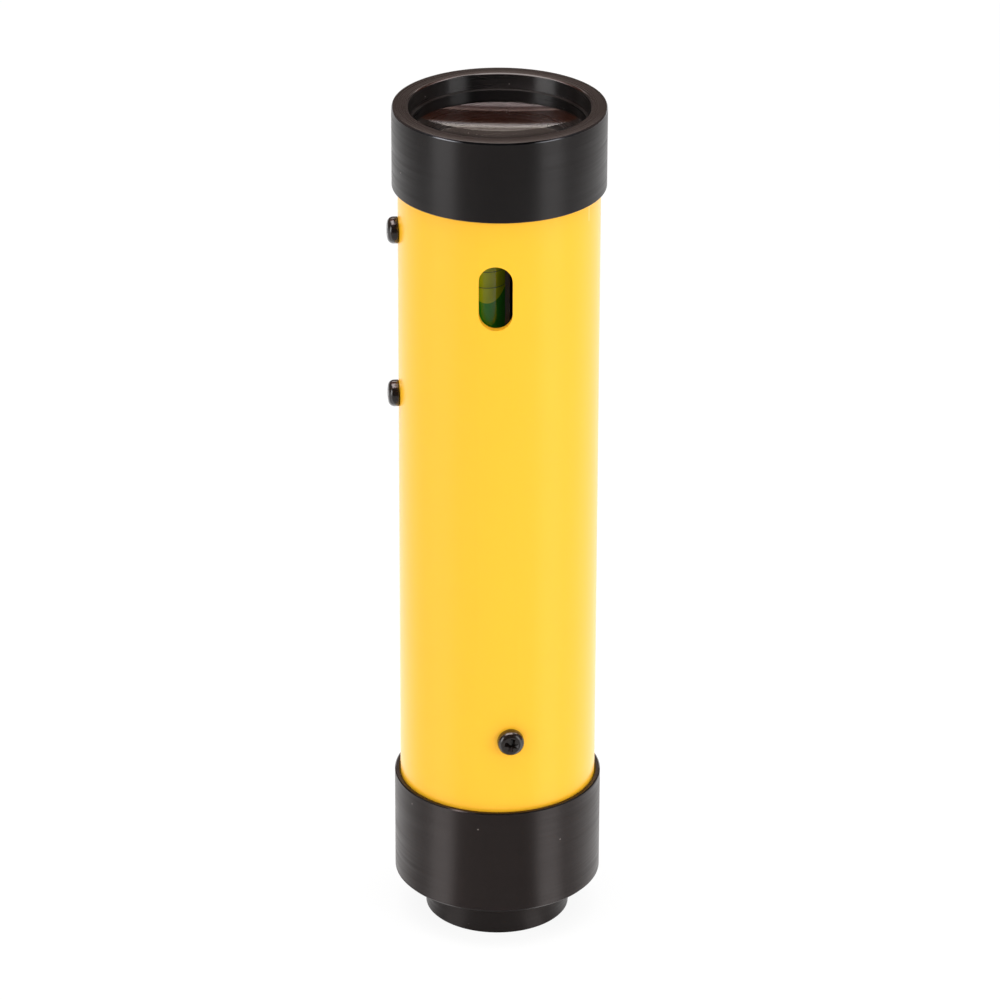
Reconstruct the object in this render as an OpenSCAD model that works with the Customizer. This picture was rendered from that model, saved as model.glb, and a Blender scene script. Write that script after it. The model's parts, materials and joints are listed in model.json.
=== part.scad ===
// Hand level: a sighting tube held to the eye, with a spirit vial seen through a 45 degree mirror.
// +Z runs along the sight line to the objective end and the window in the tube faces -Y.
// The origin is the centre of the eyepiece's end face, on which the level stands.

/* [Main tube] */
// Outer diameter of the painted tube
tube_od = 36; // [34:0.5:42]
// Wall of the painted tube
tube_wall = 1.5; // [1.2:0.1:1.8]
// Length of tube seen between the two caps, eyepiece at rest
tube_seen_len = 116; // [112:1:150]

/* [Caps] */
// Wall of both cap skirts outside the tube
cap_wall = 1.05; // [0.8:0.05:1.6]
// Height of the objective cap
objective_cap_h = 14.9; // [14:0.1:20]
// Height of the eyepiece cap
eyepiece_cap_h = 20.6; // [19:0.1:26]
// Floor of the eyepiece cap
cap_floor_t = 3.5; // [3:0.1:5]
// Broken edges of both caps
cap_edge = 0.2; // [0.1:0.05:0.4]
// Chamfer at the eyepiece cap's foot
cap_foot_chamfer = 0.5; // [0.2:0.1:1]
// Height of the boss inside the eyepiece cap
boss_h = 5; // [4:0.5:6]

/* [Objective] */
// Radial width of the objective cap's front rim
rim_w = 2.95; // [2.4:0.05:3.4]
// Depth of the front bore, down to the retaining ring
ring_depth = 2.9; // [2:0.1:3.5]
// Step in from the front bore to the ring's bore
ring_step = 0.15; // [0.1:0.05:0.3]
// Height of the retaining ring
ring_h = 2; // [1.5:0.1:2.5]
// Wall of the retaining ring
ring_wall = 0.5; // [0.4:0.05:1]
// Centre thickness of the front element
flint_t = 1.2; // [1:0.1:1.6]
// Radius of the cemented surface
cement_radius = 50; // [42:1:80]
// Edge thickness of the rear element
crown_edge_t = 0.8; // [0.6:0.1:1.2]
// Radius of the rear surface
rear_radius = 45; // [38:1:80]
// Axial thickness of the lens seat
seat_t = 1.3; // [1:0.1:1.6]
// Radial width of the lens seat
seat_w = 1.4; // [1:0.1:2]

/* [Window and vial] */
// Window centre below the objective cap
window_drop = 14.6; // [13:0.1:18]
// Length of the window
window_len = 12.1; // [9:0.1:13]
// Width of the window
window_w = 6; // [4.5:0.1:6.4]
// Vial centre below the window centre
vial_drop = 0.2; // [0:0.1:1]
// Vial axis to the left of the window
vial_shift = 1.65; // [1:0.05:2.2]
// Outer diameter of the vial
vial_d = 6.4; // [5.6:0.1:6.8]
// Glass wall of the vial
vial_wall = 0.8; // [0.6:0.1:1]
// Length of the vial
vial_len = 22; // [20:0.5:24]
// Length of each end plug
plug_len = 2; // [1:0.1:2.5]
// Length of the bubble
bubble_len = 10.5; // [7:0.5:12]

/* [Carrier and mirror] */
// Wall of carrier beyond each end of the vial
carrier_end = 1.2; // [1:0.1:2]
// Carrier beyond the lower side screw
carrier_foot = 5.8; // [5:0.1:8]
// Thickness of the side plate
plate_t = 0.8; // [0.6:0.1:1.2]
// Thickness of the mirror
mirror_t = 1.5; // [1:0.1:2]
// Length of the mirror along its slope
mirror_len = 20; // [17:0.5:21]
// Width of the mirror
mirror_w = 11; // [9:0.5:12]
// Width of the light port under the vial
port_w = 4; // [3:0.5:5]
// Diameter of the bubble lens
bubble_lens_d = 12; // [10:0.5:12.5]
// Edge thickness of the bubble lens
bubble_lens_edge_t = 1.4; // [1:0.1:2]
// Radius of the bubble lens's curved side
bubble_lens_radius = 14; // [12:0.5:30]
// Depth of the bubble lens above the carrier's foot
bubble_lens_depth = 4; // [3:0.5:5]
// Depth of the step that the bubble lens seats on
bubble_seat_t = 2.5; // [2:0.1:3]

/* [Screws] */
// Diameter of all three screws
screw_d = 2.5; // [2:0.1:3]
// Diameter of the screw heads
head_d = 4.85; // [4.2:0.05:5.6]
// Height of the screw heads
head_h = 2.05; // [1.7:0.05:2.4]
// Rounding of the screw heads
head_round = 1.15; // [0.6:0.05:1.4]
// Length of the cross recess
cross_len = 2.5; // [2:0.1:3]
// Width of the cross recess
cross_w = 0.55; // [0.4:0.05:0.7]
// Depth of the cross recess
cross_depth = 1.3; // [0.9:0.1:1.5]
// Turn of the guide screw's recess
guide_cross_turn = -13; // [-45:1:45]
// Depth of the side screws in the carrier
side_grip = 5; // [4:0.1:5.5]
// Angle of the side screws from the window
side_angle = -84; // [-90:1:-78]
// Upper side screw above the window centre
side_rise = 6.3; // [5:0.1:7]
// Distance between the side screws
side_pitch = 31.5; // [30:0.5:34]
// Angle of the guide screw from the window
guide_angle = 9.3; // [0:0.1:20]
// Guide screw above the eyepiece cap
guide_rise = 14.5; // [13:0.5:18]
// Diameter of the guide screw's tip
guide_tip_d = 2; // [1.6:0.1:2.2]

/* [Focusing eyepiece] */
// Diameter of the stub at the eye end
stub_d = 26.6; // [26:0.1:28]
// Height of the stub
stub_h = 7.5; // [6:0.1:10]
// Travel of the tube towards the eyepiece
focus_in = 2; // [1:0.5:2.5]
// Travel of the tube away from the eyepiece
focus_out = 6; // [4:0.5:7]
// Wall of the draw tube
draw_wall = 1.4; // [1.2:0.1:1.6]
// Draw tube above the guide screw
draw_lead = 14.4; // [13:0.1:18]
// Diameter of the eye cell's barrel
barrel_d = 25; // [24:0.1:25.4]
// Diameter of the eyepiece lenses
eye_lens_d = 18.8; // [17:0.1:20]
// Depth of the eye lens in the stub
eye_recess = 3.9; // [3:0.1:5]
// Width of the lip that holds the eye lens
eye_lip = 1.9; // [1.4:0.1:2.5]
// Edge thickness of the eyepiece lenses
eye_edge_t = 1.6; // [1.2:0.1:2]
// Radius of the eyepiece lenses
eye_radius = 20; // [16:0.5:40]
// Length of the spacer between the eyepiece lenses
eye_spacer_len = 12.8; // [10:0.1:14]
// Height of the field stop
stop_h = 4.6; // [4:0.1:6]
// Opening of the field stop
stop_d = 13; // [8:0.5:14]
// Height of the small retaining rings
small_ring_h = 2; // [1.5:0.1:2.5]
// Wall of the small retaining rings and spacers
small_ring_wall = 1; // [0.8:0.1:1.4]

/* [Erector and reticle] */
// Diameter of the erector lenses
erector_d = 18; // [15:0.5:20]
// Edge thickness of the erector lenses
erector_edge_t = 1.5; // [1.2:0.1:2]
// Radius of the erector lenses' curved sides
erector_radius = 24; // [18:0.5:40]
// Length of the spacer between the erector lenses
erector_spacer_len = 9; // [8:0.5:11]
// Lip of the erector cell
erector_lip = 2; // [1.5:0.1:2.5]
// Height of the erector cell's foot
erector_foot_h = 2.5; // [2:0.1:4]
// Gap between the draw tube and the reticle cell, pushed right in
reticle_gap = 1; // [0.5:0.1:2]
// Floor of the reticle cell
reticle_floor_t = 5; // [3:0.5:6]
// Lip of the reticle cell and its ring
reticle_lip = 1.5; // [1:0.1:2]
// Diameter of the reticle glass
reticle_d = 20; // [19.5:0.5:22]
// Thickness of the reticle glass
reticle_t = 1.5; // [1:0.1:2]
// Opening of the glare stop
glare_open_d = 22; // [20:0.5:24]
// Thickness of the glare stop's web
glare_t = 1.2; // [1:0.1:2]
// Length of the glare stop's skirt
glare_skirt = 5; // [3:0.5:6]

/* [Clearances] */
// Gap between the eyepiece cap and the tube
skirt_gap = 0.09; // [0.04:0.01:0.1]
// Gap between the draw tube and the tube
slide_gap = 0.08; // [0.04:0.01:0.1]
// Gap round pieces that are screwed or pushed in
fit_gap = 0.05; // [0.02:0.01:0.08]
// Gap round a screw in its hole
screw_gap = 0.03; // [0.02:0.01:0.06]
// Gap between the guide screw's tip and its slot
slot_gap = 0.06; // [0.03:0.01:0.1]
// Gap round the bubble in the vial
bubble_gap = 0.1; // [0.08:0.01:0.2]
// Gap between two cemented surfaces
cement_gap = 0.02; // [0.01:0.01:0.04]
// Gap between the vial and the tube
vial_tube_gap = 0.3; // [0.2:0.05:0.5]
// Gap between the tube's ends and the caps
end_gap = 0.5; // [0.1:0.1:1]

/* [Hidden] */
$fn = 96;
lens_fn = 480;

// Rise of a sphere's surface over its own rim
function sag(radius, r) = radius - sqrt(radius * radius - r * r);

// Radii of the tube and its caps
tube_r = tube_od / 2;
tube_ir = tube_r - tube_wall;
cap_r = tube_r + cap_wall;
sleeve_r = tube_ir - fit_gap;
cut = 1;

// Heights of the caps
eyecap_floor_z = stub_h + cap_floor_t;
eyecap_rim_z = stub_h + eyepiece_cap_h;
objcap_low_z = eyecap_rim_z + tube_seen_len;
objcap_top_z = objcap_low_z + objective_cap_h;

// The objective, from its flat front face down to its seat
bore_r = cap_r - rim_w;
lens_bore_r = bore_r - ring_step;
lens_r = lens_bore_r - fit_gap;
lens_front_z = objcap_top_z - ring_depth - ring_h;
cement_sag = sag(cement_radius, lens_r);
flint_edge_z = lens_front_z - flint_t - cement_sag;
seat_z = flint_edge_z - cement_gap - crown_edge_t;
seat_r = lens_bore_r - seat_w;
rear_face_r = seat_r - fit_gap;
rear_vertex_z = seat_z - sag(rear_radius, rear_face_r);
web_low_z = seat_z - seat_t;

// Ends of the main tube
tube_top_z = web_low_z - fit_gap;
tube_low_z = eyecap_floor_z + focus_in + end_gap;

// Window, vial and bubble
window_z = objcap_low_z - window_drop;
vial_r = vial_d / 2;
vial_bore_r = vial_r - vial_wall;
vial_x = -vial_shift;
vial_axis_r = tube_ir - vial_tube_gap - vial_r;
vial_y = -sqrt(vial_axis_r * vial_axis_r - vial_x * vial_x);
vial_z = window_z - vial_drop;
vial_low_z = vial_z - vial_len / 2;
vial_top_z = vial_z + vial_len / 2;
bubble_r = vial_bore_r - bubble_gap;
bubble_top_z = vial_top_z - plug_len - bubble_gap;
bubble_low_z = bubble_top_z - bubble_len;

// Screws
screw_r = screw_d / 2;
side_upper_z = window_z + side_rise;
side_lower_z = side_upper_z - side_pitch;
guide_z = eyecap_rim_z + guide_rise;
guide_tip_r = guide_tip_d / 2;

// Carrier: a half cylinder whose flat side faces +X and is closed by the side plate
carrier_x = vial_x + vial_r + fit_gap;
carrier_top_z = vial_top_z + carrier_end;
carrier_low_z = side_lower_z - carrier_foot;
trough_r = vial_r + fit_gap;
mirror_half = mirror_len / 2 * sin(45);
light_half = mirror_half + fit_gap;
mirror_x0 = carrier_x - fit_gap - mirror_w;
bubble_lens_r = bubble_lens_d / 2;
bubble_lens_sag = sag(bubble_lens_radius, bubble_lens_r);
lens_step_z = carrier_low_z + bubble_lens_depth + bubble_lens_edge_t + bubble_lens_sag;
light_low_z = lens_step_z + bubble_seat_t;
bubble_step_r = bubble_lens_r - seat_w / 2;

// Draw tube and what it holds
draw_r = tube_ir - slide_gap;
draw_ir = draw_r - draw_wall;
draw_top_z = guide_z + draw_lead;
boss_top_z = eyecap_floor_z + boss_h;
barrel_r = barrel_d / 2;
erector_r = erector_d / 2;
erector_face_r = erector_r - small_ring_wall;
erector_top_z = draw_top_z - end_gap;
erector_ring_z = erector_top_z - small_ring_h;
erector_front_z = erector_ring_z - erector_edge_t;
erector_rear_z = erector_front_z - erector_spacer_len - erector_edge_t;
erector_low_z = erector_rear_z - erector_foot_h;

// Eyepiece stack, from the eye lens up
eye_lens_r = eye_lens_d / 2;
eye_bore_r = eye_lens_r + fit_gap;
eye_face_r = eye_lens_r - small_ring_wall;
eye_spacer_z = eye_recess + eye_edge_t;
field_lens_z = eye_spacer_z + eye_spacer_len;
stop_z = field_lens_z + eye_edge_t;
eye_ring_z = stop_z + stop_h;
barrel_top_z = eye_ring_z + small_ring_h + end_gap;

// Reticle cell and glare stop
reticle_low_z = draw_top_z + focus_in + reticle_gap;
reticle_glass_z = reticle_low_z + reticle_floor_t;
reticle_ring_z = reticle_glass_z + reticle_t;
reticle_top_z = reticle_ring_z + small_ring_h;
reticle_r = reticle_d / 2;
reticle_open_r = reticle_r - reticle_lip;
glare_z = (reticle_top_z + carrier_low_z) / 2;

// A tube between two heights
module ring(r_out, r_in, z0, z1) {
    translate([0, 0, z0]) difference() {
        cylinder(r = r_out, h = z1 - z0);
        translate([0, 0, -cut]) cylinder(r = r_in, h = z1 - z0 + 2 * cut);
    }
}

// A disc between two heights
module disc(r, z0, z1) {
    translate([0, 0, z0]) cylinder(r = r, h = z1 - z0);
}

// A turned piece from half its cross section, points as [radius, height]
module turned(points) {
    rotate_extrude() polygon(points);
}

// Places a child on the tube's axis so that its +Z points out through the wall at this angle
module through_wall(angle, z) {
    translate([0, 0, z]) rotate([0, 0, angle]) rotate([90, 0, 0]) children();
}

// A large arc that turns into a lens surface
module lens_arc(radius, z) {
    translate([0, z]) circle(r = radius, $fn = lens_fn);
}

// A lens with its flat face at z, its curved face on the side of dir and a flat rim round that
module plano_convex(r, face_r, edge_t, radius, z, dir) {
    h = edge_t + sag(radius, face_r);
    rotate_extrude() {
        translate([0, dir > 0 ? z : z - edge_t]) square([r, edge_t]);
        intersection() {
            translate([0, dir > 0 ? z : z - h]) square([face_r, h]);
            lens_arc(radius, z + dir * (h - radius));
        }
    }
}

// Slot with round ends, along Y, from the axis outwards
module long_hole(len, w, h) {
    for (side = [-1, 1]) translate([0, side * (len - w) / 2, 0]) cylinder(r = w / 2, h = h);
    translate([-w / 2, -(len - w) / 2, 0]) cube([w, len - w, h]);
}

// Pan head on a plane at z = 0, with its cross recess
module pan_head(turn) {
    r = head_d / 2;
    difference() {
        rotate_extrude() {
            square([r, head_h - head_round]);
            square([r - head_round, head_h]);
            intersection() {
                translate([r - head_round, head_h - head_round]) circle(r = head_round);
                square([r, head_h]);
            }
        }
        translate([0, 0, head_h - cross_depth]) rotate([0, 0, turn]) intersection() {
            union() for (a = [0, 90]) rotate([0, 0, a]) {
                translate([-cross_len / 2, -cross_w / 2, 0]) cube([cross_len, cross_w, cross_depth + cut]);
            }
            cylinder(r1 = cross_w / 2, r2 = cross_len / 2, h = cross_depth);
        }
    }
}

// Screw whose head seats on the tube, reaching in to the radius tip
module wall_screw(angle, z, tip, turn) {
    through_wall(angle, z) translate([0, 0, tube_r]) pan_head(turn);
    through_wall(angle, z) translate([0, 0, tip]) cylinder(r = screw_r, h = tube_r - tip);
}

module main_tube() {
    color("gold") difference() {
        ring(tube_r, tube_ir, tube_low_z, tube_top_z);
        through_wall(0, window_z) long_hole(window_len, window_w, tube_od);
        for (z = [side_upper_z, side_lower_z])
            through_wall(side_angle, z) cylinder(r = screw_r + screw_gap, h = tube_od);
        through_wall(guide_angle, guide_z) cylinder(r = screw_r + screw_gap, h = tube_od);
    }
}

module objective_cap() {
    color("#26231f") turned([
        [tube_r + fit_gap, objcap_low_z],
        [cap_r - cap_edge, objcap_low_z],
        [cap_r, objcap_low_z + cap_edge],
        [cap_r, objcap_top_z - cap_edge],
        [cap_r - cap_edge, objcap_top_z],
        [bore_r + cap_edge, objcap_top_z],
        [bore_r, objcap_top_z - cap_edge],
        [bore_r, objcap_top_z - ring_depth],
        [lens_bore_r, objcap_top_z - ring_depth],
        [lens_bore_r, seat_z],
        [seat_r, seat_z],
        [seat_r, web_low_z],
        [tube_r + fit_gap, web_low_z]
    ]);
}

module objective_retaining_ring() {
    ring_ir = lens_r - ring_wall;
    color("#1c1a18") turned([
        [ring_ir, lens_front_z],
        [lens_r, lens_front_z],
        [lens_r, lens_front_z + ring_h],
        [ring_ir + ring_wall / 3, lens_front_z + ring_h],
        [ring_ir, lens_front_z + ring_h - ring_wall / 3]
    ]);
}

// Front element: flat face outwards, hollow behind
module objective_front_lens() {
    color("lightsteelblue", 0.5) rotate_extrude() difference() {
        translate([0, flint_edge_z]) square([lens_r, lens_front_z - flint_edge_z]);
        lens_arc(cement_radius, lens_front_z - flint_t - cement_radius);
    }
}

// Rear element: both faces bulge, the front one into the hollow and the rear one into the seat
module objective_rear_lens() {
    crown_front_z = lens_front_z - flint_t - cement_gap;
    color("lightcyan", 0.5) rotate_extrude() {
        intersection() {
            translate([0, seat_z]) square([lens_r, crown_front_z - seat_z]);
            lens_arc(cement_radius, crown_front_z - cement_radius);
        }
        intersection() {
            translate([0, rear_vertex_z]) square([rear_face_r, seat_z - rear_vertex_z + crown_edge_t]);
            lens_arc(rear_radius, rear_vertex_z + rear_radius);
        }
    }
}

// Light way from the mirror down to the bubble lens, as a cut across X
module light_way() {
    back = mirror_t * sin(45);
    low_corner = [light_half + back, vial_z - light_half + back];
    high_corner = [back - light_half, vial_z + light_half + back];
    translate([mirror_x0 - fit_gap, 0, 0]) rotate([90, 0, 90])
        linear_extrude(carrier_x - mirror_x0 + fit_gap + cut) polygon([
            [-light_half, light_low_z],
            [light_half, light_low_z],
            [light_half, vial_z - light_half],
            low_corner,
            high_corner,
            [-light_half, vial_z + light_half]
        ]);
}

module vial_carrier() {
    h = carrier_top_z - carrier_low_z;
    color("#2b2b2b") difference() {
        intersection() {
            disc(sleeve_r, carrier_low_z, carrier_top_z);
            translate([-tube_od, -tube_od, carrier_low_z]) cube([tube_od + carrier_x, 2 * tube_od, h]);
        }
        // Trough for the vial, open to the window
        translate([vial_x, vial_y, vial_low_z]) cylinder(r = trough_r, h = vial_len);
        translate([vial_x - trough_r, vial_y - tube_r, vial_low_z])
            cube([trough_r + vial_r + tube_r, tube_r, vial_len]);
        // Light port under the vial
        translate([vial_x - port_w / 2, vial_y, vial_z - light_half + mirror_t])
            cube([port_w, fit_gap - light_half - vial_y, 2 * (light_half - mirror_t)]);
        light_way();
        // Seat of the bubble lens and the step above it
        translate([vial_x, 0, carrier_low_z - cut])
            cylinder(r = bubble_lens_r + fit_gap, h = lens_step_z - carrier_low_z + cut);
        translate([vial_x, 0, lens_step_z - cut])
            cylinder(r = bubble_step_r, h = bubble_seat_t + 2 * cut);
        // Tapped holes of the side screws
        for (z = [side_upper_z, side_lower_z]) through_wall(side_angle, z)
            translate([0, 0, sleeve_r - side_grip - screw_gap]) cylinder(r = screw_r + screw_gap, h = tube_r);
    }
}

// Thin plate on the carrier's flat side, between the bubble's half of the view and the open half
module carrier_side_plate() {
    h = carrier_top_z - carrier_low_z;
    color("#202020") intersection() {
        disc(sleeve_r, carrier_low_z, carrier_top_z);
        translate([carrier_x, -tube_od, carrier_low_z]) cube([plate_t, 2 * tube_od, h]);
    }
}

module vial_glass() {
    color("palegreen", 0.4) translate([vial_x, vial_y, 0]) ring(vial_r, vial_bore_r, vial_low_z, vial_top_z);
}

module vial_plug_upper() {
    color("dimgray") translate([vial_x, vial_y, 0])
        disc(vial_bore_r - cement_gap, vial_top_z - plug_len, vial_top_z);
}

module vial_plug_lower() {
    color("dimgray") translate([vial_x, vial_y, 0])
        disc(vial_bore_r - cement_gap, vial_low_z, vial_low_z + plug_len);
}

// Round-ended column of air, grown by the gap given
module bubble_form(grow) {
    r = bubble_r + grow;
    low = bubble_low_z + bubble_r;
    high = bubble_top_z - bubble_r;
    translate([vial_x, vial_y, 0]) {
        disc(r, low, high);
        translate([0, 0, low]) sphere(r = r);
        translate([0, 0, high]) sphere(r = r);
    }
}

module vial_liquid() {
    color("green", 0.7) difference() {
        translate([vial_x, vial_y, 0])
            disc(vial_bore_r - cement_gap, vial_low_z + plug_len, bubble_low_z + bubble_r);
        bubble_form(cement_gap);
    }
}

module bubble() {
    color("yellowgreen", 0.6) bubble_form(0);
}

// Plate across the carrier, its lower face turned to the vial and to the eye
module bubble_mirror() {
    color("silver") translate([mirror_x0, 0, vial_z]) rotate([-45, 0, 0])
        translate([0, -mirror_len / 2, 0]) cube([mirror_w, mirror_len, mirror_t]);
}

// Half lens that brings the bubble's image to the reticle
module bubble_lens() {
    color("lightcyan", 0.5) intersection() {
        translate([vial_x, 0, 0])
            plano_convex(bubble_lens_r, bubble_lens_r, bubble_lens_edge_t, bubble_lens_radius, lens_step_z, -1);
        translate([carrier_x - fit_gap - tube_od, -tube_od, carrier_low_z]) cube([tube_od, 2 * tube_od, tube_od]);
    }
}

module side_screw_upper() {
    color("#1a1a1a") wall_screw(side_angle, side_upper_z, sleeve_r - side_grip, 0);
}

module side_screw_lower() {
    color("#1a1a1a") wall_screw(side_angle, side_lower_z, sleeve_r - side_grip, 0);
}

// The guide screw's thin tip rides in the draw tube's slot
module guide_screw() {
    color("#1a1a1a") {
        wall_screw(guide_angle, guide_z, tube_ir, guide_cross_turn);
        through_wall(guide_angle, guide_z) translate([0, 0, draw_ir + fit_gap])
            cylinder(r = guide_tip_r, h = tube_ir - draw_ir);
    }
}

module glare_stop() {
    color("#303030") {
        ring(sleeve_r, glare_open_d / 2, glare_z - glare_t / 2, glare_z + glare_t / 2);
        ring(sleeve_r, sleeve_r - small_ring_wall, glare_z - glare_skirt, glare_z - glare_t / 2);
    }
}

module reticle_cell() {
    color("#303030") turned([
        [reticle_open_r, reticle_low_z],
        [sleeve_r, reticle_low_z],
        [sleeve_r, reticle_top_z],
        [reticle_r + fit_gap, reticle_top_z],
        [reticle_r + fit_gap, reticle_glass_z],
        [reticle_open_r, reticle_glass_z]
    ]);
}

module reticle_glass() {
    color("lightcyan", 0.5) disc(reticle_r, reticle_glass_z, reticle_ring_z);
}

module reticle_retaining_ring() {
    color("#404040") ring(reticle_r, reticle_open_r, reticle_ring_z, reticle_top_z);
}

module draw_tube() {
    slot_low_z = guide_z - focus_in - guide_tip_r - slot_gap;
    slot_top_z = guide_z + focus_out + guide_tip_r + slot_gap;
    color("#2a2826") difference() {
        ring(draw_r, draw_ir, eyecap_floor_z, draw_top_z);
        through_wall(guide_angle, (slot_low_z + slot_top_z) / 2)
            long_hole(slot_top_z - slot_low_z, guide_tip_d + 2 * slot_gap, tube_od);
    }
}

module erector_cell() {
    cell_r = draw_ir - fit_gap;
    color("#303030") turned([
        [erector_r - erector_lip, erector_low_z],
        [cell_r, erector_low_z],
        [cell_r, erector_top_z],
        [erector_r + fit_gap, erector_top_z],
        [erector_r + fit_gap, erector_rear_z],
        [erector_r - erector_lip, erector_rear_z]
    ]);
}

// The erector's lenses turn their curved sides to each other
module erector_front_lens() {
    color("lightcyan", 0.5) erector_lens(erector_ring_z, -1);
}

module erector_rear_lens() {
    color("lightcyan", 0.5) erector_lens(erector_rear_z, 1);
}

module erector_lens(z, dir) {
    plano_convex(erector_r, erector_face_r, erector_edge_t, erector_radius, z, dir);
}

module erector_spacer() {
    color("#404040") ring(erector_r, erector_face_r, erector_rear_z + erector_edge_t, erector_front_z);
}

module erector_retaining_ring() {
    color("#404040") ring(erector_r, erector_face_r, erector_ring_z, erector_top_z);
}

module eyepiece_cap() {
    skirt_r = tube_r + skirt_gap;
    spigot_r = draw_ir - fit_gap;
    bore = barrel_r + fit_gap;
    color("#2a2625") turned([
        [bore, stub_h],
        [cap_r - cap_foot_chamfer, stub_h],
        [cap_r, stub_h + cap_foot_chamfer],
        [cap_r, eyecap_rim_z - cap_edge],
        [cap_r - cap_edge, eyecap_rim_z],
        [skirt_r + cap_edge, eyecap_rim_z],
        [skirt_r, eyecap_rim_z - cap_edge],
        [skirt_r, eyecap_floor_z],
        [spigot_r, eyecap_floor_z],
        [spigot_r, boss_top_z],
        [bore, boss_top_z]
    ]);
}

// Stub with its eye opening, and the barrel that holds the eyepiece lenses
module eye_cell() {
    stub_r = stub_d / 2;
    lip_r = eye_lens_r - eye_lip;
    color("#1f1d1c") turned([
        [eye_lens_r, 0],
        [stub_r - cap_edge, 0],
        [stub_r, cap_edge],
        [stub_r, stub_h],
        [barrel_r, stub_h],
        [barrel_r, barrel_top_z],
        [eye_bore_r, barrel_top_z],
        [eye_bore_r, eye_recess],
        [lip_r, eye_recess],
        [lip_r, eye_recess - cap_edge]
    ]);
}

// The eyepiece lenses turn their curved sides to each other
module eye_lens() {
    color("lightcyan", 0.5) eyepiece_lens(eye_recess, 1);
}

module field_lens() {
    color("lightcyan", 0.5) eyepiece_lens(stop_z, -1);
}

module eyepiece_lens(z, dir) {
    plano_convex(eye_lens_r, eye_face_r, eye_edge_t, eye_radius, z, dir);
}

module eyepiece_spacer() {
    color("#404040") ring(eye_lens_r, eye_face_r, eye_spacer_z, field_lens_z);
}

module field_stop() {
    color("#303030") turned([
        [stop_d / 2, eye_ring_z - glare_t],
        [eye_face_r, eye_ring_z - glare_t],
        [eye_face_r, stop_z],
        [eye_lens_r, stop_z],
        [eye_lens_r, eye_ring_z],
        [stop_d / 2, eye_ring_z]
    ]);
}

module eyepiece_retaining_ring() {
    color("#404040") ring(eye_lens_r, eye_face_r, eye_ring_z, eye_ring_z + small_ring_h);
}

main_tube();
objective_cap();
objective_retaining_ring();
objective_front_lens();
objective_rear_lens();
vial_carrier();
carrier_side_plate();
vial_glass();
vial_plug_upper();
vial_plug_lower();
vial_liquid();
bubble();
bubble_mirror();
bubble_lens();
side_screw_upper();
side_screw_lower();
guide_screw();
glare_stop();
reticle_cell();
reticle_glass();
reticle_retaining_ring();
draw_tube();
erector_cell();
erector_front_lens();
erector_rear_lens();
erector_spacer();
erector_retaining_ring();
eyepiece_cap();
eye_cell();
eye_lens();
field_lens();
eyepiece_spacer();
field_stop();
eyepiece_retaining_ring();
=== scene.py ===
import bpy
import json
import math
from mathutils import Matrix, Vector


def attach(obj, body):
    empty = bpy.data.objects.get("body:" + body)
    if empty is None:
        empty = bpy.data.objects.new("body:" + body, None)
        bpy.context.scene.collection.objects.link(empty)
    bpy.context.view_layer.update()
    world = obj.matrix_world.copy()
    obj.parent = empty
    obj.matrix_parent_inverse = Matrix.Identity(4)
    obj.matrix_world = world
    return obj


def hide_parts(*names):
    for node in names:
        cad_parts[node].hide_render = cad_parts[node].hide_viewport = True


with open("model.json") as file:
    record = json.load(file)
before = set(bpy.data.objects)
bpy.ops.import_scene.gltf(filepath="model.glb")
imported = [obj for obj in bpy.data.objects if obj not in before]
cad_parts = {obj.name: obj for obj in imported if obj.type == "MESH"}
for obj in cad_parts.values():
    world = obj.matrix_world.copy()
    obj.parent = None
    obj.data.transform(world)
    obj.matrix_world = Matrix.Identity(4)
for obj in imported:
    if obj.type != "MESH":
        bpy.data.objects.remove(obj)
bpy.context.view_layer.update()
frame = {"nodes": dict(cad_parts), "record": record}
nodes = frame["nodes"]
print("frame loaded,", len(nodes), "nodes")

mm = 0.001


# colours are written as on screen and turned to Blender's linear values here
def hexColour(text):
    channels = [int(text[i:i + 2], 16) / 255 for i in (1, 3, 5)]
    return tuple(c / 12.92 if c <= 0.04045 else ((c + 0.055) / 1.055) ** 2.4 for c in channels) + (1.0,)


# adds one node. A setting goes to the socket of that name or number, or else to the node itself, and a link comes
# from an output, or from a node's first one.
def addNode(tree, kind, settings=None, links=None):
    made = tree.nodes.new(kind)
    for name, value in (settings or {}).items():
        if isinstance(name, int) or name in made.inputs:
            made.inputs[name].default_value = value
        else:
            setattr(made, name, value)
    for name, source in (links or {}).items():
        output = source.outputs[0] if isinstance(source, bpy.types.Node) else source
        tree.links.new(output, made.inputs[name])
    return made


def newMaterial(name):
    made = bpy.data.materials.new(name)
    made.use_nodes = True
    made.node_tree.nodes.clear()
    return made, made.node_tree


# the camera, fitted to the photograph's outlines
cameraView = {
    "focalMm": 190.46, "sensorMm": 36.0, "nearClip": 0.05, "farClip": 20,
    "distance": 960.61 * mm, "pitch": 24.851, "roll": 0.1933, "azimuth": 1.85,
    "aimX": 0.3055 * mm, "aimZ": 82.54 * mm,
}
pitch = math.radians(cameraView["pitch"])
back = Vector((0, -math.cos(pitch), math.sin(pitch)))
cameraSpot = Vector((cameraView["aimX"], 0, cameraView["aimZ"])) + back * cameraView["distance"]
bpy.ops.object.camera_add()
camera = bpy.context.object
camera.name = "photoCamera"
camera.data.lens = cameraView["focalMm"]
camera.data.sensor_width = cameraView["sensorMm"]
camera.data.clip_start = cameraView["nearClip"]
camera.data.clip_end = cameraView["farClip"]
camera.matrix_world = (Matrix.Rotation(math.radians(cameraView["azimuth"]), 4, "Z")
                       @ Matrix.Translation(cameraSpot)
                       @ Matrix.Rotation(math.pi / 2 - pitch, 4, "X")
                       @ Matrix.Rotation(math.radians(cameraView["roll"]), 4, "Z"))
bpy.context.scene.camera = camera
bpy.context.scene.view_settings.view_transform = "Standard"
print("camera set")

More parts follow.
